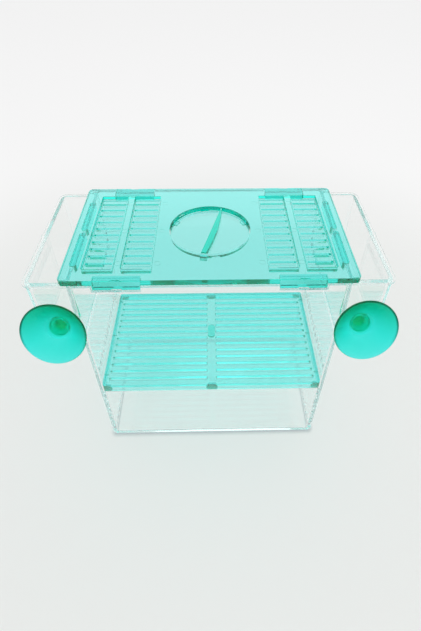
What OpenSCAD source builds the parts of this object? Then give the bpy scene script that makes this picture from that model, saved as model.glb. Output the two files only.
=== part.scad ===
// Fish breeding box: a clear tub with a side pocket at each end, a louvred lid with a
// turning feeding hatch, a slatted grate inside and two suction cups on the front.
// Millimetres, +Z up. The origin is the centre of the tub's underside.
// The suction cups point along -Y, towards the aquarium glass.

/* [Tub] */
// Height of the tub from its underside to the top of its rim
tub_h = 158; // [130:1:200]
// Width of the main chamber, outside
chamber_w = 157.2; // [146:0.2:200]
// Depth of the main chamber, outside
chamber_d = 97.4; // [85:0.2:130]
// Wall thickness of the chamber
wall = 2.2; // [1.6:0.1:3]
// Thickness of the chamber's floor
floor_t = 2.4; // [1.6:0.1:4]
// Radius of the chamber's outer corners
corner_r = 3.2; // [3:0.1:5]
// Height of the ledge that carries the grate
ledge_z = 58.3; // [40:0.1:80]
// Width of that ledge, by which the walls are thicker below it
ledge_w = 1; // [0.8:0.1:2]

/* [Side pockets] */
// Width of each side pocket, outside the chamber
wing_w = 23.4; // [18:0.2:30]
// How far the pockets' front and back faces lie behind the chamber's
wing_set = 2.2; // [1:0.1:6]
// Height of the side pockets
wing_h = 45; // [42:1:60]
// Wall thickness of the side pockets
wing_wall = 2.4; // [1.6:0.1:3]
// Radius of the side pockets' outer corners
wing_r = 4.3; // [3:0.1:6]
// Overhang of the rim flange round the side pockets
rim_over = 1.3; // [0.6:0.1:3]
// Thickness of the rim flange
rim_t = 1.2; // [0.8:0.1:3]

/* [Water slots] */
// Distance from slot to slot in the row above the grate
upper_pitch = 5.8; // [4:0.1:8]
// Width of an upper slot
upper_slot_w = 1.6; // [0.8:0.1:2.5]
// Height of an upper slot
upper_slot_h = 6; // [3:0.5:10]
// Height of the upper row above the grate
upper_slot_rise = 9.5; // [4:0.5:20]
// Distance from slot to slot in the row above the floor
lower_pitch = 6.9; // [4:0.1:8]
// Width of a lower slot
lower_slot_w = 2; // [0.8:0.1:2.5]
// Height of a lower slot
lower_slot_h = 3.6; // [2:0.2:8]
// Height of the lower row above the floor
lower_slot_rise = 2.6; // [1:0.2:6]
// Least wall from the end of a row to the chamber's corner
slot_margin = 2.8; // [2:0.1:20]

/* [Lid] */
// Thickness of the lid's plate
lid_t = 3.6; // [3:0.1:5]
// How far the lid reaches past the chamber at each end
lid_over_x = 3.9; // [2:0.1:6]
// How far the lid stops short of the chamber's front and back faces
lid_short_y = 1.1; // [0.5:0.1:1.8]
// Radius of the lid's corners
lid_r = 3; // [1:0.1:6]
// Width of a corner clip
clip_w = 26.4; // [15:0.2:34]
// Depth of a corner clip, inwards from the lid's edge
clip_d = 6; // [4:0.1:8]
// Height of a corner clip below the lid's plate
clip_h = 3.2; // [2.5:0.1:6]
// Distance from the chamber's end to the middle of a clip
clip_inset = 27.2; // [26:0.1:34]
// Width of a locating rib
rib_w = 4; // [2.5:0.1:5]
// Length of a locating rib
rib_l = 31.6; // [20:0.2:34]
// Height of a locating rib below the lid's plate
rib_h = 4.6; // [2:0.1:6]
// Gap between two ribs in line
rib_gap = 2.6; // [1:0.1:6]

/* [Vents] */
// Width of one vent panel
vent_w = 16.9; // [10:0.1:17]
// Length of a vent panel
vent_l = 75; // [50:0.5:76]
// Distance from the lid's end to the outer vent panels
vent_margin = 11; // [8:0.1:11.4]
// Width of the bar between two vent panels
vent_bar = 4.7; // [3:0.1:6]
// Depth of a vent panel below the lid's top face
vent_depth = 2.1; // [1:0.1:2.4]
// Least distance from the end of a vent panel to its first slot
vent_end = 4; // [1:0.5:12]
// Distance from vent slot to vent slot
vent_pitch = 6.8; // [4:0.1:9]
// Width of a vent slot
vent_slot_w = 1.5; // [0.8:0.1:2.5]
// How far the louvres between the slots reach below the lid's plate
louvre_drop = 2; // [0.5:0.1:4]
// Solid strip at each end of a vent slot
louvre_end = 0.9; // [0.5:0.1:3]

/* [Feeding hatch] */
// Radius of the hatch opening in the lid
hatch_r = 24.8; // [18:0.1:28]
// Depth of the hatch disc below the lid's top face
hatch_depth = 2.6; // [1.5:0.1:2.8]
// Thickness of the hatch disc
hatch_t = 3; // [1:0.1:4]
// How far the lugs that carry the disc reach under it
lug_reach = 1.6; // [1:0.1:3]
// Width of a lug
lug_w = 4.4; // [3:0.1:10]
// Thickness of a lug beside the disc
lug_wall = 0.9; // [0.8:0.1:3]
// Thickness of a lug under the disc
lug_t = 1; // [0.8:0.1:2.5]
// Width of the grip fin at its thick end
fin_thick = 3.1; // [2:0.1:7]
// Width of the grip fin at its thin end
fin_thin = 1; // [0.8:0.1:3]
// How far the fin's curved side swells out
fin_swell = 1.65; // [0:0.05:3]
// Distance from the disc's middle to the fin's straight side
fin_set = 1; // [0:0.1:3]
// Direction of the fin's thin end, from +X towards +Y
fin_angle = 75; // [60:1:90]
// Width of a retaining bump on the opening's wall
bump_w = 4.4; // [2:0.1:6]
// How far a retaining bump stands inwards
bump_d = 1.1; // [0.6:0.1:1.6]
// Height of a retaining bump
bump_h = 1; // [0.6:0.1:1.4]
// Direction of the first retaining bump, from +X towards +Y
bump_angle = 138; // [120:1:150]
// Turn from the locked hatch to where its notches meet the bumps
unlock_turn = 40; // [20:1:50]

/* [Grate] */
// Height of the grate's frame
grate_h = 6; // [4:0.1:9]
// Thickness of the grate's slats
slat_t = 2.6; // [1.5:0.1:4]
// Width of the frame's side bars
grate_side = 3.7; // [2.5:0.1:6]
// Width of the bar along the middle
spine_w = 5.5; // [3:0.1:9]
// Thickness of the skirt all round
skirt_t = 1.6; // [1.2:0.1:3]
// Depth of the six feet, from the front and back
foot_d = 2.8; // [1.8:0.1:6]
// Distance from gap to gap
grate_pitch = 6.15; // [4:0.05:9]
// Least width of the slats along the front and back
end_slat = 3; // [1:0.1:5]
// Width of a gap
gap_w = 2.1; // [1:0.1:3]
// Length of the pull boss on the middle bar
boss_l = 12.6; // [8:0.1:20]
// Height of the pull boss above the slats
boss_h = 1.2; // [0.8:0.1:4]
// Distance from the grate's middle to the pull boss, towards the back
boss_y = 3; // [0:0.5:10]
// Distance from the grate's front and back to the outer nicks in its side bars
nick_inset = 9.6; // [5:0.1:20]

/* [Suction cups] */
// Radius of the cup at its lip
cup_r = 18.4; // [14:0.1:20]
// Depth of the cup from its lip to its hub
cup_depth = 9.5; // [6:0.1:12]
// Radius of the cup's hub
cup_hub_r = 5.6; // [4:0.1:7]
// Distance from the pocket's wall to the cup's hub
cup_reach = 8; // [7:0.1:10]
// Thickness of the cup at its lip
cup_lip_t = 0.7; // [0.5:0.1:1.2]
// Upward tilt of the cups, as they rest
cup_tilt = 22; // [0:1:24]
// Furthest tilt of a cup, up or down, from straight ahead
cup_tilt_max = 24; // [15:1:25]
// Radius of the cup's neck
neck_r = 3; // [2:0.1:4]
// Radius of the button that keeps the neck in its hole
button_r = 5.2; // [4.6:0.1:6]
// Distance from the cup's hole to the outer end of the side pocket
cup_inset = 14.5; // [8:0.1:16]
// Distance from the rim down to the cup's hole
cup_drop = 30; // [24:0.1:32]

/* [Fits] */
// Gap under a part that rests on another
seat_gap = 0.2; // [0.1:0.05:0.4]
// Side clearance of the grate in the chamber, and of the ribs and clips in their notches
side_gap = 0.3; // [0.2:0.05:0.6]
// Clearance round the hatch disc
hatch_gap = 0.3; // [0.2:0.05:0.6]

/* [Hidden] */
$fn = 48;
fine = 96;
eps = 0.01;
past = 1;

in_w = chamber_w - 2 * wall;
in_d = chamber_d - 2 * wall;
low_in_w = in_w - 2 * ledge_w;
low_in_d = in_d - 2 * ledge_w;
inner_r = max(corner_r - wall, 1) + 0.6;
wing_d = chamber_d - 2 * wing_set;
span_w = chamber_w + 2 * wing_w;
wing_z = tub_h - wing_h;
wing_inner_r = max(wing_r - wing_wall, 1);
gate_r = 0.5;
gate_proud = 0.5;

lid_w = chamber_w + 2 * lid_over_x;
lid_d = chamber_d - 2 * lid_short_y;
lid_z = tub_h + seat_gap;
lid_top = lid_z + lid_t;
rib_x = (chamber_w - wall) / 2;
rib_y = (rib_l + rib_gap) / 2;
clip_x = chamber_w / 2 - clip_inset;
notch_w = clip_w + 2 * side_gap;
notch_z = tub_h - clip_h - side_gap;
bead_l = 5.3;
bead_r = 0.5;
bead_y = chamber_d / 2 - wall / 2;
edge_slot = 0.6;
outer_vent_x = lid_w / 2 - vent_margin - vent_w / 2;
inner_vent_x = outer_vent_x - vent_w - vent_bar;
vent_x = [-outer_vent_x, -inner_vent_x, inner_vent_x, outer_vent_x];
mark_x = [inner_vent_x - vent_w / 2 - 3.2, (inner_vent_x + outer_vent_x) / 2];
mark_y = [-31, 0, 31];
mark_r = 1.8;
mark_depth = 0.2;
lid_gate_y = -6;
lid_gate_x = 3.3;

disc_r = hatch_r - hatch_gap;
disc_top = lid_top - hatch_depth;
disc_z = disc_top - hatch_t;
seat_z = disc_z - seat_gap;
lug_z = seat_z - lug_t;
lug_turns = [30, 150, 261];
bump_z = disc_top + seat_gap;

grate_w = in_w - 2 * side_gap;
grate_d = in_d - 2 * side_gap;
grate_z = ledge_z + seat_gap;
grate_top = grate_z + grate_h;
panel_w = grate_w / 2 - grate_side - spine_w / 2;
gap_room = grate_d - 2 * (skirt_t + end_slat) - gap_w;
nick_w = 0.9;
nick_depth = 0.8;

upper_slot_z = grate_top + upper_slot_rise;
lower_slot_z = floor_t + lower_slot_rise;

cup_x = span_w / 2 - cup_inset;
cup_y = -(wing_d - wing_wall) / 2;
cup_z = tub_h - cup_drop;
// The hub and the button clear the wall, and the neck its hole, at the furthest tilt
tilt_gap = 0.3;
hub_front = (wing_wall / 2 + tilt_gap + cup_hub_r * sin(cup_tilt_max)) / cos(cup_tilt_max);
button_front = (wing_wall / 2 + tilt_gap + button_r * sin(cup_tilt_max)) / cos(cup_tilt_max);
hole_r = neck_r / cos(cup_tilt_max) + wing_wall / 2 * tan(cup_tilt_max) + 0.2;
button_t = 2.6;
button_edge = 0.8;
hub_skirt = 1.8;
hub_ring_w = 1.6;
hub_ring_d = 0.5;

clear = [0.86, 0.93, 0.91, 0.4];
mint = [0.45, 0.9, 0.8, 0.7];
aqua = [0.1, 0.8, 0.68, 0.8];

// How many features at a pitch fit in a room, measured between their middles
function count_in(room, pitch) = floor(room / pitch) + 1;
// The places of a centred row
function row(count, pitch) = [for (i = [0 : count - 1]) (i - (count - 1) / 2) * pitch];

// A rounded rectangle, centred
module rounded(w, d, r) {
    square([w - 2 * r, d], center = true);
    square([w, d - 2 * r], center = true);
    for (x = [-1, 1], y = [-1, 1])
        translate([x * (w / 2 - r), y * (d / 2 - r)])
            circle(r);
}

// A block that stands on z = 0, with round upright corners and round lower edges
module tray_block(w, d, h, r) {
    for (x = [-1, 1], y = [-1, 1])
        translate([x * (w / 2 - r), y * (d / 2 - r), r])
            sphere(r);
    for (y = [-1, 1])
        translate([0, y * (d / 2 - r), r])
            rotate([0, 90, 0])
                cylinder(h = w - 2 * r, r = r, center = true);
    for (x = [-1, 1])
        translate([x * (w / 2 - r), 0, r])
            rotate([90, 0, 0])
                cylinder(h = d - 2 * r, r = r, center = true);
    translate([0, 0, h / 2])
        cube([w - 2 * r, d - 2 * r, h], center = true);
    translate([0, 0, r])
        linear_extrude(h - r)
            rounded(w, d, r);
}

// A bar with half-round ends, along Y, on z = 0
module pill(w, l, h) {
    linear_extrude(h) {
        square([w, l - w], center = true);
        for (y = [-1, 1])
            translate([0, y * (l - w) / 2])
                circle(w / 2);
    }
}

// A short round pin along X, centred
module pin_x(l, r) {
    rotate([0, 90, 0])
        cylinder(h = l, r = r, center = true);
}

// The four places of the lid's clips, at a distance y from the middle
module at_clips(y) {
    for (sx = [-1, 1], sy = [-1, 1])
        translate([sx * clip_x, sy * y, 0])
            children();
}

// The four places of the lid's ribs, over the chamber's side walls
module at_ribs() {
    for (sx = [-1, 1], sy = [-1, 1])
        translate([sx * rib_x, sy * rib_y, 0])
            children();
}

// A row of upright slots through both side walls of the chamber
module slot_row(room, pitch, w, h, z) {
    for (y = row(count_in(room - 2 * slot_margin - w, pitch), pitch))
        translate([0, y, z + h / 2])
            cube([chamber_w + 2 * past, w, h], center = true);
}

module tub_shell() {
    tray_block(chamber_w, chamber_d, tub_h, corner_r);
    translate([0, 0, wing_z])
        tray_block(span_w, wing_d, wing_h, wing_r);
    // A flange round the pockets' rims, with a gate mark at the middle of each end
    translate([0, 0, tub_h - rim_t]) {
        linear_extrude(rim_t)
            rounded(span_w + 2 * rim_over, wing_d + 2 * rim_over, wing_r + rim_over);
        translate([0, 0, rim_t / 2])
            pin_x(span_w + 2 * (rim_over + gate_proud), gate_r);
    }
}

module tub_hollows() {
    pocket_w = wing_w - wing_wall;
    translate([0, 0, floor_t])
        tray_block(low_in_w, low_in_d, ledge_z, inner_r);
    translate([0, 0, ledge_z])
        linear_extrude(tub_h)
            rounded(in_w, in_d, inner_r);
    for (x = [-1, 1])
        translate([x * (chamber_w + pocket_w) / 2, 0, wing_z + wing_wall])
            tray_block(pocket_w, wing_d - 2 * wing_wall, wing_h, wing_inner_r);
}

// Notches in the front and back walls for the clips, and in the side walls for the ribs
module rim_notches() {
    at_clips(chamber_d / 2)
        translate([-notch_w / 2, -wall - past, notch_z])
            cube([notch_w, 2 * (wall + past), clip_h + past]);
    at_ribs()
        translate([0, 0, tub_h - rib_h - side_gap])
            pill(rib_w + 2 * side_gap, rib_l + 2 * side_gap, rib_h + past);
}

module tub() {
    color(clear)
    difference() {
        union() {
            difference() {
                tub_shell();
                tub_hollows();
                rim_notches();
                slot_row(in_d, upper_pitch, upper_slot_w, upper_slot_h, upper_slot_z);
                slot_row(low_in_d, lower_pitch, lower_slot_w, lower_slot_h, lower_slot_z);
            }
            // A bead on the bottom of each notch, under the clip's groove
            at_clips(bead_y)
                translate([0, 0, notch_z])
                    pin_x(bead_l, bead_r);
        }
        // Holes for the cups' necks
        for (x = [-1, 1])
            translate([x * cup_x, cup_y, cup_z])
                rotate([90, 0, 0])
                    cylinder(h = wing_wall + 2 * past, r = hole_r, center = true);
    }
}

// A vent panel: a shallow recess with a row of slots through its floor
module vent(x) {
    translate([x - vent_w / 2, -vent_l / 2, lid_top - vent_depth])
        cube([vent_w, vent_l, vent_depth + past]);
    for (y = row(count_in(vent_l - 2 * vent_end - vent_slot_w, vent_pitch), vent_pitch))
        translate([x, y, lid_z - louvre_drop / 2])
            cube([vent_w - 2 * louvre_end, vent_slot_w, 2 * lid_t + louvre_drop], center = true);
}

// Shallow round ejector marks in the lid's underside
module ejector_marks() {
    for (sx = [-1, 1], x = mark_x, y = mark_y)
        translate([sx * x, y, lid_z])
            cylinder(h = 2 * mark_depth, r = mark_r, center = true);
}

// The bumps on the wall of the hatch opening, over the disc's edge
module bumps() {
    for (a = [0, 180])
        rotate([0, 0, bump_angle + a])
            translate([hatch_r - bump_d, -bump_w / 2, bump_z])
                cube([bump_d + lug_wall / 2, bump_w, bump_h]);
}

module lid_solids() {
    translate([0, 0, lid_z])
        linear_extrude(lid_t)
            rounded(lid_w, lid_d, lid_r);
    at_clips(lid_d / 2 - clip_d / 2)
        translate([0, 0, lid_z - clip_h / 2 + eps])
            cube([clip_w, clip_d, clip_h + 2 * eps], center = true);
    at_ribs()
        translate([0, 0, lid_z - rib_h])
            pill(rib_w, rib_l, rib_h + eps);
    // The louvres under the vents
    for (x = vent_x)
        translate([x - vent_w / 2, -vent_l / 2, lid_z - louvre_drop])
            cube([vent_w, vent_l, louvre_drop + eps]);
    // Lugs that carry the hatch
    for (a = lug_turns)
        rotate([0, 0, a])
            translate([hatch_r - lug_reach, -lug_w / 2, lug_z])
                cube([lug_reach + lug_wall, lug_w, lid_z - lug_z + eps]);
    // Gate marks on the left end and the back edge
    translate([-lid_w / 2, lid_gate_y, lid_z + lid_t / 2])
        pin_x(2 * gate_proud, gate_r);
    translate([lid_gate_x, lid_d / 2, lid_z + lid_t / 2])
        rotate([0, 0, 90])
            pin_x(2 * gate_proud, gate_r);
}

module lid() {
    color(mint)
    union() {
        difference() {
            lid_solids();
            // The hatch opening, down to the lugs
            translate([0, 0, seat_z])
                cylinder(h = lid_top - seat_z + past, r = hatch_r, $fn = fine);
            for (x = vent_x)
                vent(x);
            ejector_marks();
            // A groove under each clip, over the bead
            at_clips(bead_y)
                translate([0, 0, lid_z - clip_h])
                    pin_x(bead_l + 2 * side_gap, bead_r + side_gap);
            // A short slot in the lid's edge above each clip
            at_clips(lid_d / 2)
                translate([0, 0, lid_top])
                    cube([bead_l, 2 * edge_slot, 2 * edge_slot], center = true);
        }
        bumps();
    }
}

// The fin's outline along X: straight on one side, swelling on the other
module fin_outline() {
    half = disc_r - 0.6;
    steps = 12;
    function along(i) = half * (2 * i / steps - 1);
    function width(i) = fin_thick + (fin_thin - fin_thick) * i / steps + fin_swell * sin(180 * i / steps);
    intersection() {
        circle(disc_r - 0.2, $fn = fine);
        polygon(concat(
            [for (i = [0 : steps]) [along(i), -fin_set - width(i)]],
            [[half, -fin_set], [-half, -fin_set]]
        ));
    }
}

module feeding_hatch() {
    notch_r = disc_r - bump_d - hatch_gap;
    color(mint)
    union() {
        difference() {
            translate([0, 0, disc_z])
                cylinder(h = hatch_t, r = disc_r, $fn = fine);
            // Notches that let the disc pass the bumps once it is turned
            for (a = [0, 180])
                rotate([0, 0, bump_angle + a - unlock_turn])
                    translate([notch_r, -bump_w / 2 - hatch_gap, disc_z - past])
                        cube([bump_d + past, bump_w + 2 * hatch_gap, hatch_t + 2 * past]);
        }
        translate([0, 0, disc_top - eps])
            linear_extrude(hatch_depth + eps)
                rotate(fin_angle)
                    fin_outline();
    }
}

// The hollow under the slats, with feet left at its corners and under the middle bar's ends
module grate_hollow() {
    difference() {
        translate([0, 0, grate_z - past])
            linear_extrude(grate_h - slat_t + past)
                square([grate_w - 2 * skirt_t, grate_d - 2 * skirt_t], center = true);
        for (x = [-1, 0, 1], y = [-1, 1])
            translate([x * (grate_w - spine_w) / 2, y * (grate_d - foot_d) / 2, grate_z + grate_h / 2])
                cube([spine_w, foot_d, grate_h + 2 * past], center = true);
    }
}

module grate() {
    nick_y = grate_d / 2 - nick_inset;
    color(aqua)
    difference() {
        union() {
            translate([0, 0, grate_z])
                linear_extrude(grate_h)
                    rounded(grate_w, grate_d, inner_r);
            translate([0, boss_y, grate_top - eps])
                pill(spine_w, boss_l, boss_h + eps);
        }
        grate_hollow();
        // Gaps between the slats
        for (sx = [-1, 1], y = row(count_in(gap_room, grate_pitch), grate_pitch))
            translate([sx * (spine_w + panel_w) / 2, y, grate_z + grate_h / 2])
                cube([panel_w, gap_w, grate_h + 2 * past], center = true);
        // Shallow nicks across the side bars
        for (sx = [-1, 1], y = [-nick_y, 0, nick_y])
            translate([sx * (grate_w - grate_side) / 2, y, grate_top])
                cube([grate_side + past, nick_w, 2 * nick_depth], center = true);
    }
}

// Half of a cup's section, along its axis: button, neck, hub and flared cup
module cup_section() {
    steps = 8;
    lip = cup_reach + cup_depth;
    back = -button_front - button_t;
    function flare(t, r0, z0, z1, curl) = [r0 + (cup_r - r0) * t, z0 + (z1 - z0) * pow(t, curl)];
    polygon(concat(
        [[0, back], [button_r - button_edge, back], [button_r, back + button_edge]],
        [[button_r, -button_front], [neck_r, -button_front]],
        [[neck_r, hub_front], [cup_hub_r, hub_front]],
        [for (i = [0 : steps]) flare(i / steps, cup_hub_r, cup_reach - hub_skirt, lip - cup_lip_t, 1.3)],
        [for (i = [steps : -1 : 0])
            flare(i / steps, cup_hub_r + hub_ring_w, cup_reach + hub_ring_d, lip, 1.12)],
        [[cup_hub_r + hub_ring_d, cup_reach + hub_ring_d], [cup_hub_r, cup_reach], [0, cup_reach]]
    ));
}

module suction_cup(side) {
    color(aqua)
    translate([side * cup_x, cup_y, cup_z])
        rotate([90 - cup_tilt, 0, 0])
            rotate_extrude($fn = fine)
                cup_section();
}

tub();
lid();
feeding_hatch();
grate();
suction_cup(-1);  // suction_cup_left
suction_cup(1);  // suction_cup_right
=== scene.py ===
import math

import bmesh
import bpy
from mathutils import Matrix, Vector


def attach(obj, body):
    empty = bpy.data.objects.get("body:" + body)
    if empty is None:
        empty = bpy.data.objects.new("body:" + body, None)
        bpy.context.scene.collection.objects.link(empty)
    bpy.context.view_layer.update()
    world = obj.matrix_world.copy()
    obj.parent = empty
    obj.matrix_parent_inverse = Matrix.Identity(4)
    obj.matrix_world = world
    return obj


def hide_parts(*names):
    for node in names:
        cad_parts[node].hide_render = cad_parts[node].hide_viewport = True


# Fish breeding box: clear tub, green lid with a turning hatch, slatted grate, two suction cups
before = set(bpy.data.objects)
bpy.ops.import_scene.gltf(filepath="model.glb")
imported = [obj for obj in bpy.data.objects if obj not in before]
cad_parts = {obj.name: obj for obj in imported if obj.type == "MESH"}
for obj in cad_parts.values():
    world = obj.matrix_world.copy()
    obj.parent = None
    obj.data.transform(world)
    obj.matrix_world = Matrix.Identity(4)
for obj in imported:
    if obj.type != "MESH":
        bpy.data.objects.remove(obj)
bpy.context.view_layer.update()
print("loaded", len(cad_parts), "CAD nodes")


# Node trees: a wire is an output socket that takes part in plain sums
class Wire:
    def __init__(self, bench, socket):
        self.bench = bench
        self.socket = socket

    def combine(self, operation, first, second):
        return self.bench.add("Math", {"operation": operation}, {0: first, 1: second})

    def __add__(self, other):
        return self.combine("ADD", self, other)

    def __radd__(self, other):
        return self.combine("ADD", other, self)

    def __mul__(self, other):
        return self.combine("MULTIPLY", self, other)

    def __rmul__(self, other):
        return self.combine("MULTIPLY", other, self)

    def __or__(self, other):  # the greater of two masks
        return self.combine("MAXIMUM", self, other)

    def __ror__(self, other):
        return self.combine("MAXIMUM", other, self)


def opaque(colour):
    return colour if isinstance(colour, Wire) else (*colour, 1)


class Bench:
    def __init__(self, tree):
        self.tree = tree
        tree.nodes.clear()

    def add(self, kind, settings=None, inputs=None, output=0):
        node = self.tree.nodes.new("ShaderNode" + kind)
        for name, value in (settings or {}).items():
            setattr(node, name, value)
        for name, value in (inputs or {}).items():
            if isinstance(value, Wire):
                self.tree.links.new(value.socket, node.inputs[name])
            else:
                node.inputs[name].default_value = value
        return Wire(self, node.outputs[output]) if len(node.outputs) else node

    # Goes from low to high while the value goes from the first limit to the second
    def ramp(self, value, limits, low=0.0, high=1.0, kind="LINEAR"):
        return self.add("MapRange", {"interpolation_type": kind}, {
            0: value, 1: limits[0], 2: limits[1], 3: low, 4: high})

    def ease(self, value, limits, low=0.0, high=1.0):
        return self.ramp(value, limits, low, high, "SMOOTHSTEP")

    def tint(self, mask, first, second):
        return self.add("Mix", {"data_type": "RGBA"}, {0: mask, 6: opaque(first), 7: opaque(second)}, 2)

    def vector(self, operation, *values, output=0):
        return self.add("VectorMath", {"operation": operation}, dict(enumerate(values)), output)

    def part(self, vector, letter):
        return self.add("SeparateXYZ", {}, {0: vector}, output="XYZ".index(letter))


def newMaterial(name):
    material = bpy.data.materials.new(name)
    material.use_nodes = True
    return material, Bench(material.node_tree)


facingFront = (-0.3, -0.6)  # how far a wall's normal points to the front, from not at all to fully counted


# Moulded plastic that light passes. absorb is how much of red, green and blue a metre takes, as an exponent
def mouldedPlastic(name, look):
    material, bench = newMaterial(name)
    place = bench.add("TexCoord", output="Object")
    flow = bench.add("TexNoise", {}, {"Vector": place, "Scale": look["flowScale"], "Detail": 2.0})
    haze = bench.add("TexNoise", {}, {"Vector": place, "Scale": look["hazeScale"], "Detail": 4.0})
    normal = bench.add("Bump", {}, {
        "Height": flow, "Strength": look["waveStrength"], "Distance": look["waveDepth"]})
    colour = bench.tint(flow, look["tintLow"], look["tintHigh"])
    height = bench.part(place, "Z")
    folded = bench.vector("ABSOLUTE", place)  # so that each corner of the object is treated alike
    sideways = bench.part(folded, "X")
    for tonesAndPaintedLight in look.get("tonesAndPaintedLight", []):  # colour by height, sideways, or by distance from a point: the object's own tones, and on the cups a painted highlight and painted shade
        along = sideways if tonesAndPaintedLight.get("sideways") else height
        if "centre" in tonesAndPaintedLight:
            along = bench.vector("DISTANCE", folded, tonesAndPaintedLight["centre"], output="Value")
        mask = bench.ease(along, tonesAndPaintedLight["limits"])
        if "beyond" in tonesAndPaintedLight:
            mask = mask * bench.ramp(along, tonesAndPaintedLight["beyond"])
        if "above" in tonesAndPaintedLight:
            mask = mask * bench.ramp(height, tonesAndPaintedLight["above"])
        if tonesAndPaintedLight.get("walls"):  # only on inner walls that face the front
            facing = bench.part(bench.add("TexCoord", output="Normal"), "Y")
            mask = mask * bench.ramp(facing, facingFront)
        colour = bench.tint(mask, colour, tonesAndPaintedLight["tint"])
    rough = look["rough"] + haze * look["roughSpread"]
    if "soft" in look:  # softer along the rims of the side pockets
        soft = look["soft"]
        rims = bench.ramp(height, soft["height"])
        rough = rough + rims * bench.ramp(sideways, soft["sideways"], high=soft["rough"])
    glass = bench.add("BsdfPrincipled", {}, {
        "Base Color": colour,
        "Roughness": rough,
        "IOR": look["ior"],
        "Transmission Weight": look.get("clear", 1.0),
        "Normal": normal,
    })
    shadow, diffuse = [bench.add("LightPath", output="Is " + kind + " Ray") for kind in ("Shadow", "Diffuse")]
    through = bench.add("BsdfTransparent", {}, {"Color": opaque(look["passes"])})
    surface = bench.add("MixShader", {}, {0: shadow | diffuse, 1: glass, 2: through})
    most = max(look["absorb"])
    volume = bench.add("VolumeAbsorption", {}, {
        "Color": opaque([1 - taken / most for taken in look["absorb"]]), "Density": most})
    bench.add("OutputMaterial", {}, {"Surface": surface, "Volume": volume})
    return material


clearLook = {
    "tintLow": (0.985, 0.992, 0.99), "tintHigh": (0.995, 1.0, 0.998),
    "absorb": (2.2, 0.9, 1.0), "passes": (0.985, 0.99, 0.99),
    "rough": 0.0, "roughSpread": 0.02, "ior": 1.42,
    "soft": {"height": (0.1562, 0.1568), "sideways": (0.0795, 0.082), "rough": 0.25},
    "flowScale": 18.0, "hazeScale": 140.0, "waveStrength": 0.1, "waveDepth": 0.0004,
}
greenLook = {
    "tintLow": (0.95, 0.99, 0.985), "tintHigh": (0.98, 1.0, 0.995),
    "absorb": (255.0, 12.0, 18.0), "passes": (0.96, 0.99, 0.985),
    "rough": 0.0, "roughSpread": 0.03, "ior": 1.5,
    "flowScale": 20.0, "hazeScale": 160.0, "waveStrength": 0.1, "waveDepth": 0.0004,
}
grateLook = dict(greenLook, absorb=(420.0, 14.0, 22.0), rough=0.06, roughSpread=0.06)
grateLook["tonesAndPaintedLight"] = [{"limits": (0.06455, 0.0648), "tint": (0.12, 0.9, 0.78)}] + [  # the boss, the feet
    {"centre": (x, 0.0462, 0.0613), "limits": (0.0044, 0.0038), "walls": True, "tint": (0.005, 0.45, 0.34)}
    for x in (0.0733, 0.0)]
hatchLook = dict(greenLook, tonesAndPaintedLight=[{"limits": (0.1594, 0.1597), "tint": (0.005, 0.86, 0.60)}])  # the fin
lidLook = dict(greenLook, tonesAndPaintedLight=[  # the ends, the wall of the hatch opening, and the vents' back ends
    {"sideways": True, "limits": (0.0821, 0.0824), "tint": (0.02, 0.4, 0.3)},
    {"centre": (0.0, 0.0, 0.16), "limits": (0.0256, 0.0252), "walls": True, "tint": (0.3, 0.4, 0.3)},
    {"centre": (0.0, 1.0, 0.16), "limits": (0.9668, 0.966), "beyond": (0.959, 0.96), "walls": True,
     "tint": (0.35, 0.75, 0.62)},
])
cupLook = {
    "tintLow": (0.14, 0.99, 0.95), "tintHigh": (0.18, 1.0, 1.0), "clear": 0.95,
    "tonesAndPaintedLight": [  # a painted highlight low down, painted shade high up, then the hub and the upper rim
        # painted highlight: paler towards the bottom of the cup
        {"limits": (0.129, 0.117), "tint": (0.3, 1.0, 1.0)},
        # painted shade: darker towards the top of the cup
        {"limits": (0.125, 0.149), "tint": (0.01, 0.7, 0.48)},
        {"centre": (0.0875, 0.05225, 0.1308), "limits": (0.0062, 0.0048), "tint": (0.02, 0.7, 0.42)},
        {"centre": (0.0875, 0.0453, 0.128), "limits": (0.0240, 0.0246), "above": (0.124, 0.14),
         "tint": (0.005, 0.18, 0.12)},
    ],
    "absorb": (900.0, 35.0, 90.0), "passes": (0.94, 0.98, 0.975),
    "rough": 0.3, "roughSpread": 0.1, "ior": 1.24,
    "flowScale": 60.0, "hazeScale": 260.0, "waveStrength": 0.3, "waveDepth": 0.0005,
}
clearPlastic = mouldedPlastic("clearPolystyrene", clearLook)
greenPlastic = mouldedPlastic("greenPolystyrene", lidLook)
gratePlastic = mouldedPlastic("greenSlatPlastic", grateLook)
hatchPlastic = mouldedPlastic("greenHatchPlastic", hatchLook)
softVinyl = mouldedPlastic("softGreenVinyl", cupLook)
print("materials made")


# Solids: a closed shell that follows one outline up through levels of (height, growth)
mm = 0.001
past = 1.0  # how far a cutter reaches beyond the face that it opens
rooted = 1.2  # how far an added shell reaches into the solid that carries it


def roundedOutline(width, depth, radius, steps=8):
    radius = max(min(radius, width / 2, depth / 2), mm)
    points = []
    for quarter, (sx, sy) in enumerate(((1, 1), (-1, 1), (-1, -1), (1, -1))):
        for i in range(steps + 1):
            turn = math.radians(90 * (quarter + i / steps))
            points.append((sx * (width / 2 - radius) + radius * math.cos(turn),
                           sy * (depth / 2 - radius) + radius * math.sin(turn)))
    return points


# Growth along a shell: an end above 0 is rounded off, an end below 0 flares out like the mouth of a hole
def levels(low, high, lowEdge=0.0, highEdge=0.0, steps=3):
    def arc(edge):
        size, sign = abs(edge), 1 if edge < 0 else -1
        turns = [math.radians(90 * i / steps) for i in range(steps + 1)] if edge else [0]
        return [(size - size * math.sin(a), sign * size * (1 - math.cos(a))) for a in turns]
    return ([(low + inset, grow) for inset, grow in reversed(arc(lowEdge))]
            + [(high - inset, grow) for inset, grow in arc(highEdge)])


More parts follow.
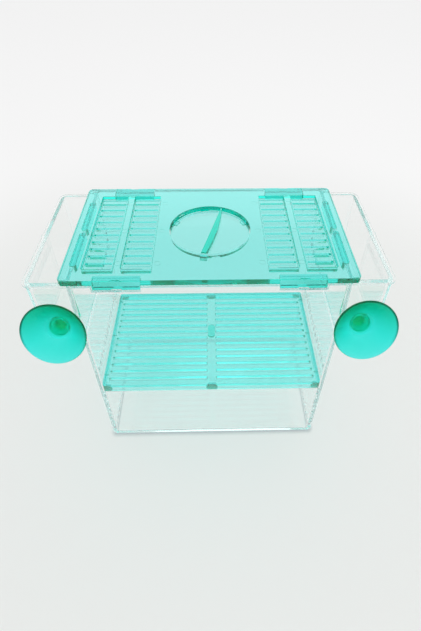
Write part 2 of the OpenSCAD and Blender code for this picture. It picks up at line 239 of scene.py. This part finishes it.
# Growth along a cutter for a hollow that is open at the top
def openTop(low, high, lowEdge, mouth, steps=3):
    return levels(low, high, lowEdge, -mouth, steps) + [(high + past, mouth)]


# Growth along a cutter for a hole that goes right through
def throughHole(low, high, lowMouth, highMouth, steps=3, above=past):
    return ([(low - past, lowMouth)] + levels(low, high, -lowMouth, -highMouth, steps)
            + [(high + above, highMouth)])


# Growth along a short rod, rounded off at both ends
def rod(length, edge):
    return levels(-length / 2, length / 2, edge, edge, 2)


def shell(outlineAt, heights, place=Matrix.Identity(4)):
    mesh = bmesh.new()
    rings = []
    for height, grow in heights:
        rings.append([mesh.verts.new(place @ Vector((x, y, height)) * mm) for x, y in outlineAt(grow)])
    count = len(rings[0])
    for lower, upper in zip(rings, rings[1:]):
        for i in range(count):
            j = (i + 1) % count
            mesh.faces.new((lower[i], lower[j], upper[j], upper[i]))
    mesh.faces.new(list(reversed(rings[0])))
    mesh.faces.new(rings[-1])
    return mesh


def turnedAbout(letter, degrees):
    return Matrix.Rotation(math.radians(degrees), 4, letter)


lying = {"Z": Matrix.Identity(4), "X": turnedAbout("Y", 90), "Y": turnedAbout("X", -90)}


def block(centre, size, radius, heights, steps=8, axis="Z", turn=0):
    place = turnedAbout("Z", turn) @ Matrix.Translation(centre) @ lying[axis]
    return shell(lambda grow: roundedOutline(size[0] + 2 * grow, size[1] + 2 * grow, radius + grow, steps),
                 heights, place)


def disc(centre, radius, heights, steps=24, axis="Z"):
    return block(centre, (2 * radius, 2 * radius), radius, heights, steps, axis)


# The small nub that is left where the plastic flowed in
def gateMark(centre, axis):
    return disc(centre, 0.5, rod(1.0, 0.15), 4, axis)


def asObject(mesh, name="tool"):
    data = bpy.data.meshes.new(name)
    mesh.to_mesh(data)
    mesh.free()
    made = bpy.data.objects.new(name, data)
    bpy.context.scene.collection.objects.link(made)
    return made


def joined(meshes):
    whole = bmesh.new()
    for mesh in meshes:
        data = bpy.data.meshes.new("part")
        mesh.to_mesh(data)
        mesh.free()
        whole.from_mesh(data)
        bpy.data.meshes.remove(data)
    return whole


# Adds or takes away shells, which may not overlap each other within one call
def carve(body, meshes, operation="DIFFERENCE"):
    tool = asObject(joined(meshes))
    change = body.modifiers.new("carve", "BOOLEAN")
    change.operation = operation
    change.solver = "MANIFOLD"
    change.object = tool
    bpy.context.view_layer.update()
    result = bpy.data.meshes.new_from_object(body.evaluated_get(bpy.context.evaluated_depsgraph_get()))
    body.modifiers.clear()
    old = body.data
    body.data = result
    bpy.data.meshes.remove(old)
    bpy.data.objects.remove(tool)
    assert len(result.polygons), body.name


def addTo(body, meshes):
    carve(body, meshes, "UNION")


sharpEdge = math.radians(36)  # a fold sharper than this stays an edge
weld = 1e-7


def declare(piece, node, body):
    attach(piece, body)
    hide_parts(node)
    print(piece.name, "made,", len(piece.data.polygons), "faces")


def finishPiece(piece, node, body, material):
    mesh = bmesh.new()
    mesh.from_mesh(piece.data)
    bmesh.ops.remove_doubles(mesh, verts=mesh.verts, dist=weld)
    bmesh.ops.dissolve_degenerate(mesh, edges=mesh.edges, dist=weld)
    for face in mesh.faces:
        face.smooth = True
    for edge in mesh.edges:
        edge.smooth = edge.calc_face_angle(0) < sharpEdge
    mesh.to_mesh(piece.data)
    mesh.free()
    piece.data.materials.clear()
    piece.data.materials.append(material)
    normals = piece.modifiers.new("flatFaces", "WEIGHTED_NORMAL")
    normals.keep_sharp = True
    declare(piece, node, body)


def row(count, pitch):
    return [(i - (count - 1) / 2) * pitch for i in range(count)]


bothSides = (-1, 1)
fourCorners = [(sx, sy) for sx in bothSides for sy in bothSides]
centred = (0, 0, 0)

# Sizes are in millimetres, as in the CAD
tubSize = {
    "height": 158, "width": 157.2, "depth": 97.4, "corner": 3.2, "edge": 0.35,
    "wall": 2.2, "floor": 2.4, "innerCorner": 1.6,
    "ledgeHeight": 58.3, "ledge": 1.0, "ledgeEdge": 0.3, "ledgeCorner": 0.25,
    "span": 204.0, "pocketDepth": 93.0, "pocketFoot": 113, "pocketWall": 2.4,
    "pocketCorner": 4.3, "pocketInnerCorner": 1.9,
    "rimOver": 1.3, "rimHigh": 1.2, "rimEdge": 0.3,
    "upperSlots": {"count": 15, "pitch": 5.8, "width": 1.6, "low": 74.0, "high": 80.0},
    "lowerSlots": {"count": 13, "pitch": 6.9, "width": 2.0, "low": 5.0, "high": 8.6},
    "slotCorner": 0.3, "mouth": 0.3,
    "notchWidth": 27.0, "notchFoot": 154.5, "notchCorner": 0.3, "clipX": 51.4,
    "ribX": 77.5, "ribY": 17.1, "ribNotch": (4.6, 32.2), "ribNotchFoot": 153.1,
    "holeX": 87.5, "holeHeight": 128, "holeRadius": 4.02,
    "beadLength": 5.3, "beadRadius": 0.5, "beadEdge": 0.2,
}


def makeTub():
    s = tubSize
    high, edge, over, ledge, wall = s["height"], s["edge"], s["rimOver"], s["ledgeHeight"], s["wall"]
    tub = asObject(block(centred, (s["width"], s["depth"]), s["corner"],
                         levels(0, high, s["corner"], edge, 6)), "clearTub")
    addTo(tub, [block(centred, (s["span"], s["pocketDepth"]), s["pocketCorner"],
                      levels(s["pocketFoot"], high, s["pocketCorner"], edge, 6))])
    addTo(tub, [block(centred, (s["span"] + 2 * over, s["pocketDepth"] + 2 * over), s["pocketCorner"] + over,
                      levels(high - s["rimHigh"], high, s["rimEdge"], edge))])
    addTo(tub, [gateMark((sx * (s["span"] / 2 + over), 0, high - s["rimHigh"] / 2), "X") for sx in bothSides])
    innerWidth, innerDepth = s["width"] - 2 * wall, s["depth"] - 2 * wall
    lowWidth, lowDepth = innerWidth - 2 * s["ledge"], innerDepth - 2 * s["ledge"]
    carve(tub, [block(centred, (lowWidth, lowDepth), s["innerCorner"],
                      openTop(s["floor"], ledge, s["innerCorner"], s["ledgeEdge"], 4), 6)])
    carve(tub, [block(centred, (innerWidth, innerDepth), s["innerCorner"],
                      openTop(ledge, high, s["ledgeCorner"], edge), 6)])
    pocketSize = (s["span"] - s["width"]) / 2 - s["pocketWall"], s["pocketDepth"] - 2 * s["pocketWall"]
    pocketX = (s["width"] + pocketSize[0]) / 2
    carve(tub, [block((sx * pocketX, 0, 0), pocketSize, s["pocketInnerCorner"],
                      openTop(s["pocketFoot"] + s["pocketWall"], high, s["pocketInnerCorner"], edge, 4), 6)
                for sx in bothSides])
    carve(tub, [block((sx * s["clipX"], sy * s["depth"] / 2, 0), (s["notchWidth"], 2 * (wall + past)),
                      s["notchCorner"], openTop(s["notchFoot"], high, s["notchCorner"], edge), 2)
                for sx, sy in fourCorners])
    carve(tub, [block((sx * s["ribX"], sy * s["ribY"], 0), s["ribNotch"], s["ribNotch"][0] / 2,
                      levels(s["ribNotchFoot"], high + past, s["notchCorner"], 0)) for sx, sy in fourCorners])
    for slots, inner in ((s["upperSlots"], innerWidth / 2), (s["lowerSlots"], lowWidth / 2)):
        middle, tall = (slots["low"] + slots["high"]) / 2, slots["high"] - slots["low"]
        hole = throughHole(0, s["width"] / 2 - inner, s["mouth"], s["mouth"], 2)
        for sx in bothSides:
            outward = [(sx * along, grow) for along, grow in hole][::sx]
            carve(tub, [block((sx * inner, y, middle), (tall, slots["width"]), s["slotCorner"],
                              outward, 3, "X") for y in row(slots["count"], slots["pitch"])])
    hole = throughHole(0, s["pocketWall"], s["mouth"], s["mouth"], 2)
    carve(tub, [disc((sx * s["holeX"], -s["pocketDepth"] / 2, s["holeHeight"]), s["holeRadius"],
                     hole, 10, "Y") for sx in bothSides])
    addTo(tub, [disc((sx * s["clipX"], sy * (s["depth"] - wall) / 2, s["notchFoot"]), s["beadRadius"],
                     rod(s["beadLength"], s["beadEdge"]), 3, "X") for sx, sy in fourCorners])
    finishPiece(tub, "tub", "tub", clearPlastic)


makeTub()

lidSize = {
    "foot": 158.2, "top": 161.8, "width": 165.0, "depth": 95.2, "corner": 3.0, "edge": 0.25,
    "clip": (26.4, 6.0), "clipHigh": 3.2, "clipX": 51.4, "clipCorner": 0.6, "clipEdge": 0.3,
    "groove": (5.9, 0.8), "grooveY": 47.6, "grooveEdge": 0.2,
    "nick": (5.3, 1.2), "nickDeep": 0.6, "nickCorner": 0.2,
    "ribX": 77.5, "ribY": 17.1, "rib": (4.0, 31.6), "ribHigh": 4.6, "ribEdge": 0.5,
    "vent": (16.9, 75.0), "ventX": (41.45, 63.05), "ventDepth": 2.1, "ventCorner": 0.4, "ventEdge": 0.3,
    "ventSlots": 10, "ventPitch": 6.8, "ventSlot": 1.5, "slotEdge": 0.2, "louvreDrop": 2.0, "louvreEnd": 0.9,
    "hatchRadius": 24.8, "shoulderTop": 156.0, "shoulderHigh": 1.0, "shoulder": 1.6, "shoulderEdge": 0.2,
    "lugWall": 0.9, "lugWide": 4.4, "lugCorner": 0.5, "lugEdge": 0.3, "lugTurns": (30, 150, 261),
    "marksX": (29.8, 52.25), "marksY": (-31, 0, 31), "mark": (1.8, 0.2), "markEdge": 0.1,
    "bump": (2.2, 4.4), "bumpFoot": 159.4, "bumpHigh": 1.0, "bumpCorner": 0.4, "bumpEdge": 0.25,
    "bumpTurns": (138, 318), "gateEnd": -6, "gateBack": 3.3,
}


def makeLid():
    s = lidSize
    foot, top, edge = s["foot"], s["top"], s["edge"]
    lid = asObject(block(centred, (s["width"], s["depth"]), s["corner"], levels(foot, top, edge, edge)),
                   "louvredLid")
    addTo(lid, [block((sx * s["clipX"], sy * (s["depth"] - s["clip"][1]) / 2, 0), s["clip"], s["clipCorner"],
                      levels(foot - s["clipHigh"], foot + rooted, s["clipEdge"], 0), 4)
                for sx, sy in fourCorners])
    addTo(lid, [block((sx * s["ribX"], sy * s["ribY"], 0), s["rib"], s["rib"][0] / 2,
                      levels(foot - s["ribHigh"], foot + rooted, s["ribEdge"], 0)) for sx, sy in fourCorners])
    reach = s["shoulder"] + s["lugWall"]
    lugX = s["hatchRadius"] + s["lugWall"] - reach / 2
    addTo(lid, [block((lugX, 0, 0), (reach, s["lugWide"]), s["lugCorner"],
                      levels(s["shoulderTop"] - s["shoulderHigh"], foot + rooted, s["lugEdge"], 0), 4,
                      turn=turn) for turn in s["lugTurns"]])
    carve(lid, [disc(centred, s["hatchRadius"], openTop(s["shoulderTop"], top, s["shoulderEdge"], edge))])
    ventFloor, under = top - s["ventDepth"], foot - s["louvreDrop"]
    vents = [sx * x for sx in bothSides for x in s["ventX"]]
    addTo(lid, [block((x, 0, 0), s["vent"], s["ventCorner"],
                      levels(under, foot + rooted, s["slotEdge"], 0), 3) for x in vents])
    carve(lid, [block((x, 0, 0), s["vent"], s["ventCorner"],
                      openTop(ventFloor, top, s["ventEdge"], s["ventEdge"]), 3) for x in vents])
    slot = throughHole(under, ventFloor, s["slotEdge"], s["slotEdge"], above=0.02)
    carve(lid, [block((x, y, 0), (s["vent"][0] - 2 * s["louvreEnd"], s["ventSlot"]), s["slotEdge"], slot, 3)
                for x in vents for y in row(s["ventSlots"], s["ventPitch"])])
    radius, deep = s["mark"]
    carve(lid, [disc((sx * x, y, 0), radius, levels(foot - past, foot + deep, 0, s["markEdge"], 2), 8)
                for sx in bothSides for x in s["marksX"] for y in s["marksY"]])
    long, radius = s["groove"]
    carve(lid, [disc((sx * s["clipX"], sy * s["grooveY"], foot - s["clipHigh"]), radius,
                     rod(long, s["grooveEdge"]), 5, "X") for sx, sy in fourCorners])
    carve(lid, [block((sx * s["clipX"], sy * s["depth"] / 2, 0), s["nick"], s["nickCorner"],
                      levels(top - s["nickDeep"], top + past, s["nickCorner"], 0), 3)
                for sx, sy in fourCorners])
    addTo(lid, [block((s["hatchRadius"], 0, 0), s["bump"], s["bumpCorner"],
                      levels(s["bumpFoot"], s["bumpFoot"] + s["bumpHigh"], s["bumpEdge"], s["bumpEdge"]), 4,
                      turn=turn) for turn in s["bumpTurns"]])
    addTo(lid, [gateMark((-s["width"] / 2, s["gateEnd"], (foot + top) / 2), "X")])
    addTo(lid, [gateMark((s["gateBack"], s["depth"] / 2, (foot + top) / 2), "Y")])
    finishPiece(lid, "lid", "lid", greenPlastic)


makeLid()

hatchSize = {
    "radius": 24.5, "foot": 156.2, "top": 159.2, "edge": 0.3,
    "finTop": 161.8, "finTurn": 75, "finSet": 1.0, "finShort": 0.6, "finRoot": 0.8, "finEdge": 0.3,
    "finThick": 3.1, "finThin": 1.0, "swell": 1.65, "finSteps": 20, "tightest": 0.3,
    "notch": (4.0, 5.0), "notchAt": 25.1, "notchCorner": 0.4, "notchTurns": (98, 278),
}


# The fin is straight on one side and swells out on the other
def finOutline(grow):
    s = hatchSize
    half, steps = s["radius"] - s["finShort"], s["finSteps"]
    points = [(half - 2 * half * i / steps, -s["finSet"]) for i in range(steps + 1)]
    for i in range(steps + 1):
        taper = s["finThick"] + (s["finThin"] - s["finThick"]) * i / steps
        wide = taper + s["swell"] * math.sin(math.pi * i / steps)
        points.append((2 * half * i / steps - half, -s["finSet"] - wide))
    grown = []
    for i, point in enumerate(points):
        before, here, after = Vector(points[i - 1]), Vector(point), Vector(points[(i + 1) % len(points)])
        first, second = (here - before).normalized(), (after - here).normalized()
        outward = (Vector((first.y, -first.x)) + Vector((second.y, -second.x))) / 2
        grown.append(tuple(here + outward * grow / max(outward.length_squared, s["tightest"])))
    return grown


def makeHatch():
    s = hatchSize
    foot, top, edge = s["foot"], s["top"], s["edge"]
    hatch = asObject(disc(centred, s["radius"], levels(foot, top, edge, edge)), "turningHatch")
    addTo(hatch, [shell(finOutline, levels(top - s["finRoot"], s["finTop"], 0, s["finEdge"]),
                        turnedAbout("Z", s["finTurn"]))])
    carve(hatch, [block((s["notchAt"], 0, 0), s["notch"], s["notchCorner"],
                        levels(foot - past, top + past), 3, turn=turn) for turn in s["notchTurns"]])
    finishPiece(hatch, "feeding_hatch", "hatch", hatchPlastic)


makeHatch()

grateSize = {
    "width": 152.2, "depth": 92.4, "corner": 1.6, "foot": 58.5, "top": 64.5, "edge": 0.35,
    "slat": 2.6, "side": 3.7, "spine": 5.5, "gaps": 14, "pitch": 6.15, "gap": 2.1, "gapRound": 0.21,
    "gapCorner": 0.5, "gapMouth": 0.25, "skirt": 1.6, "hollowCorner": 0.6, "hollowEdge": 0.3,
    "footDeep": 2.8, "footShort": 0.05, "footRoot": 0.5, "footCorner": 0.5, "footEdge": 0.3, "into": 0.4,
    "boss": (5.5, 12.6), "bossHigh": 1.2, "bossY": 3.0, "bossCorner": 2.7, "bossEdge": 0.4,
    "nickY": 36.6, "nick": (0.9, 0.8), "nickCorner": 0.2,
}


def makeGrate():
    s = grateSize
    foot, top, edge, skirt, spine, into = s["foot"], s["top"], s["edge"], s["skirt"], s["spine"], s["into"]
    under = top - s["slat"]
    grate = asObject(block(centred, (s["width"], s["depth"]), s["corner"], levels(foot, top, edge, edge), 6),
                     "slattedGrate")
    addTo(grate, [block((0, s["bossY"], 0), s["boss"], s["bossCorner"],
                        levels(top - rooted, top + s["bossHigh"], 0, s["bossEdge"]))])
    hollow = [(foot - past, s["hollowEdge"])] + levels(foot, under, -s["hollowEdge"], s["hollowEdge"])
    carve(grate, [block(centred, (s["width"] - 2 * skirt, s["depth"] - 2 * skirt), s["hollowCorner"],
                        hollow, 4)])
    footSize = (spine - skirt + into, s["footDeep"] - skirt + into)
    footX, footY = (s["width"] - spine - skirt + into) / 2, (s["depth"] - s["footDeep"] - skirt + into) / 2
    feet = [((sx * footX, sy * footY, 0), footSize) for sx, sy in fourCorners]
    feet += [((0, sy * footY, 0), (spine, footSize[1])) for sy in bothSides]
    addTo(grate, [block(centre, size, s["footCorner"],
                        levels(foot + s["footShort"], under + s["footRoot"], s["footEdge"], 0), 4)
                  for centre, size in feet])
    panel = (s["width"] - spine) / 2 - s["side"]
    panelX = (spine + panel) / 2
    carve(grate, [block((sx * panelX, y, 0), (panel - 2 * edge, s["gap"] - 2 * s["gapRound"]), s["gapCorner"],
                        throughHole(under, top, s["gapMouth"], edge), 4)
                  for sx in bothSides for y in row(s["gaps"], s["pitch"])])
    wide, deep = s["nick"]
    carve(grate, [block((sx * s["width"] / 2, y, 0), (2 * s["side"], wide), s["nickCorner"],
                        levels(top - deep, top + past, s["nickCorner"], 0), 3)
                  for sx in bothSides for y in (-s["nickY"], 0, s["nickY"])])
    finishPiece(grate, "grate", "grate", gratePlastic)


makeGrate()

# A suction cup, turned about its own axis: button, neck, hub and a flared cup with a beaded lip.
# Each pair is a radius and a place along the axis
cupSize = {
    "x": 87.5, "y": -45.3, "height": 128, "tilt": 22, "turns": 96,
    "back": [(0.0, -6.3), (2.6, -6.3), (4.3, -6.15), (5.05, -5.6), (5.2, -4.9), (5.15, -4.1),
             (4.7, -3.72), (3.4, -3.66), (3.05, -3.4), (3.0, -2.6)],
    "neck": [(3.0, -1.0), (3.0, 1.0), (3.0, 2.9), (3.15, 3.5), (3.7, 3.82), (4.9, 3.9), (5.45, 4.3),
             (5.6, 5.0), (5.65, 5.9)],
    "flare": [(6.4, 6.5), (8.2, 7.5), (10.4, 9.0), (12.8, 11.1), (15.2, 13.5), (17.2, 15.6), (18.15, 16.6)],
    "lip": [(18.4, 16.95), (18.4, 17.3), (18.1, 17.48), (17.6, 17.4)],
    "hollow": [(16.4, 16.6), (14.4, 14.95), (12.0, 12.9), (9.8, 10.9), (8.3, 9.5), (7.55, 8.8)],
    "hub": [(7.1, 8.5), (6.6, 8.48), (6.1, 8.42), (5.7, 8.1), (5.35, 7.98), (4.6, 7.95), (3.2, 7.6),
            (1.6, 7.2), (0.0, 7.1)],
}


def makeCup(side, name, node, body):
    s = cupSize
    count = s["turns"]
    turns = [2 * math.pi * i / count for i in range(count)]
    mesh = bmesh.new()
    rings = []
    for radius, along in s["back"] + s["neck"] + s["flare"] + s["lip"] + s["hollow"] + s["hub"]:
        around = turns if radius else turns[:1]
        rings.append([mesh.verts.new(Vector((radius * math.cos(a), radius * math.sin(a), along)) * mm)
                      for a in around])
    for lower, upper in zip(rings, rings[1:]):
        for i in range(count):
            j = (i + 1) % count
            corners = [ring[k % len(ring)] for ring, k in ((lower, i), (lower, j), (upper, j), (upper, i))]
            mesh.faces.new(list(dict.fromkeys(corners)))  # a triangle where a ring is a single point
    bmesh.ops.recalc_face_normals(mesh, faces=mesh.faces)
    place = Matrix.Translation(Vector((side * s["x"], s["y"], s["height"])) * mm)
    bmesh.ops.transform(mesh, verts=mesh.verts, matrix=place @ turnedAbout("X", 90 - s["tilt"]))
    for face in mesh.faces:
        face.smooth = True
    cup = asObject(mesh, name)
    cup.data.materials.append(softVinyl)
    smooth = cup.modifiers.new("softShape", "SUBSURF")
    smooth.levels = smooth.render_levels = 1
    declare(cup, node, body)


makeCup(-1, "suctionCupLeft", "suction_cup_left", "cup_left")
makeCup(1, "suctionCupRight", "suction_cup_right", "cup_right")

# Floor, camera and light, in metres. The floor is painted darker near the tub, and contact is a thin shadow
# painted into the floor round the tub's foot
floorLook = {
    "near": (0.825, 0.835, 0.82), "far": (0.93, 0.93, 0.93), "paintedFalloff": (0.2, 0.5),
    "drop": 0.0004, "half": 4.0, "plain": 0.62,
    "foot": (0.0756, 0.0457, 0.01), "contactReach": 0.0062, "contactStart": 0.001, "contact": 0.75,
    "paintedShadowColour": (0.28, 0.33, 0.36),
}


def makeFloor():
    s = floorLook
    data = bpy.data.meshes.new("studioFloor")
    corners = [(-1, -1), (1, -1), (1, 1), (-1, 1)]
    data.from_pydata([(x * s["half"], y * s["half"], -s["drop"]) for x, y in corners], [], [(0, 1, 2, 3)])
    floor = bpy.data.objects.new("studioFloor", data)
    bpy.context.scene.collection.objects.link(floor)
    material, bench = newMaterial("palePaper")
    place = bench.add("TexCoord", output="Object")
    distance = bench.vector("LENGTH", place, output="Value")
    # painted shade: the floor's colour is darker near the tub and paler far off
    colour = bench.tint(bench.ease(distance, s["paintedFalloff"]), s["near"], s["far"])
    beside = bench.vector("SUBTRACT", bench.vector("ABSOLUTE", place), s["foot"])
    gap = bench.vector("LENGTH", bench.vector("MAXIMUM", beside, (0, 0, 0)), output="Value")
    # painted shadow: a darker line painted into the floor's colour round the tub's foot
    contact = bench.ease(gap, (s["contactReach"], 0.0), high=s["contact"])
    contact = contact * bench.ramp(gap, (0.0, s["contactStart"]))
    colour = bench.tint(contact, colour, s["paintedShadowColour"])
    paper = bench.add("BsdfDiffuse", {}, {"Color": colour})
    glow = bench.add("Emission", {}, {"Color": colour})
    camera, glossy, clear = [bench.add("LightPath", output="Is " + kind + " Ray")
                             for kind in ("Camera", "Glossy", "Transmission")]
    surface = bench.add("MixShader", {}, {0: (camera | glossy | clear) * s["plain"], 1: paper, 2: glow})
    bench.add("OutputMaterial", {}, {"Surface": surface})
    data.materials.append(material)


makeFloor()

cameraLook = {
    "place": (0.00099, -0.22298, 0.31778), "yaw": -0.0317, "pitch": -0.7810, "roll": -0.0107,
    "focal": 436.0, "centre": (222.23, 303.54), "frame": (421, 631),  # in pixels of the photograph's frame
    "film": 36,
}


def makeCamera():
    s = cameraLook
    wide, high = s["frame"]
    data = bpy.data.cameras.new("camera")
    camera = bpy.data.objects.new("camera", data)
    bpy.context.scene.collection.objects.link(camera)
    turn = (Matrix.Rotation(s["yaw"], 4, "Z") @ Matrix.Rotation(s["pitch"], 4, "X")
            @ Matrix.Rotation(s["roll"], 4, "Y") @ turnedAbout("X", 90))
    camera.matrix_world = Matrix.Translation(s["place"]) @ turn
    data.sensor_width = s["film"]
    data.lens = s["film"] * s["focal"] / high
    data.shift_x = (wide / 2 - s["centre"][0]) / high
    data.shift_y = (s["centre"][1] - high / 2) / high
    data.clip_start = 0.01
    bpy.context.scene.camera = camera


makeCamera()

# The surround changes with the direction: its height goes from 0 level to 1 straight up, and its limits
# from -1 at the front to 1 at the back
lightLook = {
    "sky": 0.92, "horizon": 0.79, "skyRise": (0.0, 0.5),
    "backGlow": {"strength": 0.45, "height": (0.62, 0.5), "limits": (0.35, 0.65)},
    "dimFront": {"limits": (-0.55, -0.8), "left": 0.12},
    "lamps": [
        {"name": "overhead", "place": (0.1, 0.25, 1.1), "target": (0, 0, 0.1), "size": 1.0, "power": 1.6},
        {"name": "fromRight", "place": (1.0, -0.4, 0.8), "target": (0, 0, 0.08), "size": 0.7, "power": 1.2},
    ],
    "bounces": 96,
}


def makeLight():
    s = lightLook
    scene = bpy.context.scene
    scene.world = bpy.data.worlds.new("studio")
    scene.world.use_nodes = True
    bench = Bench(scene.world.node_tree)
    way = bench.add("TexCoord", output="Generated")
    height, back = bench.part(way, "Z"), bench.part(way, "Y")
    rise = bench.ease(height, s["skyRise"], s["horizon"], s["sky"])
    dim = s["dimFront"]  # darker behind the camera, which thick clear corners bend into view
    rise = rise * bench.ease(back, dim["limits"], 1.0, dim["left"])
    glow = s["backGlow"]  # a soft light low at the back, which the lid's top mirrors towards its back edge
    rise = rise + bench.ease(height, glow["height"], high=glow["strength"]) * bench.ease(back, glow["limits"])
    camera = bench.add("LightPath", output="Is Camera Ray")
    surround = bench.add("Background", {}, {"Color": (1, 1, 1, 1), "Strength": rise | camera})
    bench.add("OutputWorld", {}, {"Surface": surround})
    for lamp in s["lamps"]:
        data = bpy.data.lights.new(lamp["name"], "AREA")
        data.shape = "DISK"
        data.size = lamp["size"]
        data.energy = lamp["power"]
        light = bpy.data.objects.new(lamp["name"], data)
        scene.collection.objects.link(light)
        light.location = lamp["place"]
        aim = Vector(lamp["target"]) - Vector(lamp["place"])
        light.rotation_euler = aim.to_track_quat("-Z", "Y").to_euler()
    scene.view_settings.view_transform = "Standard"
    for kind in ("max", "transmission", "glossy"):  # light runs a long way inside a clear wall
        setattr(scene.cycles, kind + "_bounces", s["bounces"])


makeLight()
print("floor, camera and light made")
